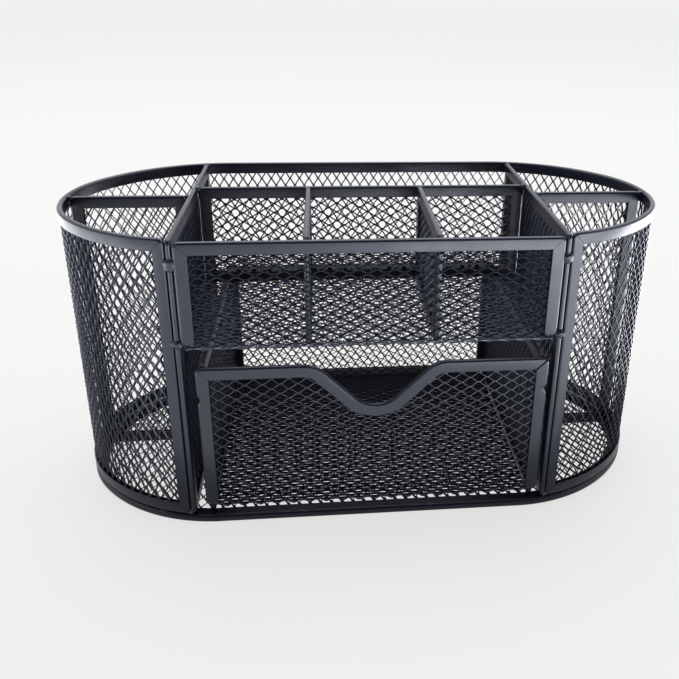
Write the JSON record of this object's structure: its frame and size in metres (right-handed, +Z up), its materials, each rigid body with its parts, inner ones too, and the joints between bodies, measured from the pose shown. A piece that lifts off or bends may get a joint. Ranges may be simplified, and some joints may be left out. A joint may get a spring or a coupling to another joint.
{
  "type": "desk organizer",
  "caption": "Desk organizer of expanded metal mesh with rounded ends, open compartments, a tray and a sliding drawer with a finger notch.",
  "frame": {"origin": "centre of the footprint on the surface that the organizer stands on", "axes": "+Z up, +X along its width to the right seen from the front, -Y to the front, where the drawer opens"},
  "size_m": [0.222, 0.096, 0.111],
  "materials": {
    "mesh_black": "semi-gloss black powder coat on expanded steel mesh",
    "channel_black": "semi-gloss black powder coat on folded sheet channel",
    "weld_black": "semi-gloss black powder coat over a rough weld bead"
  },
  "bodies": {
    "root": {"base_mesh": "mesh_black", "base_rim": "channel_black", "shell_mesh": "mesh_black", "shell_top_rim": "channel_black", "shell_bottom_rim": "channel_black", "front_post_left": "channel_black", "front_post_right": "channel_black", "partition_mesh_left": "mesh_black", "partition_mesh_right": "mesh_black", "partition_frame_left": "channel_black", "partition_frame_right": "channel_black", "end_divider_mesh_left": "mesh_black", "end_divider_mesh_right": "mesh_black", "end_divider_frame_left": "channel_black", "end_divider_frame_right": "channel_black", "tray_sheet": "mesh_black", "tray_front_trim": "channel_black", "tray_back_mesh": "mesh_black", "tray_back_frame": "channel_black", "tray_divider_mesh_left": "mesh_black", "tray_divider_mesh_right": "mesh_black", "tray_divider_frame_left": "channel_black", "tray_divider_frame_right": "channel_black", "weld_beads": "weld_black"},
    "drawer": {"drawer_sheet": "mesh_black", "drawer_front_trim": "channel_black", "drawer_back_trim": "channel_black", "drawer_side_mesh_left": "mesh_black", "drawer_side_mesh_right": "mesh_black", "drawer_side_frame_left": "channel_black", "drawer_side_frame_right": "channel_black"}
  },
  "joints": [
    {"name": "drawer_slide", "type": "slide", "parent": "root", "child": "drawer", "axis": [0, -1, 0], "range_m": [0, 0.075]}
  ]
}
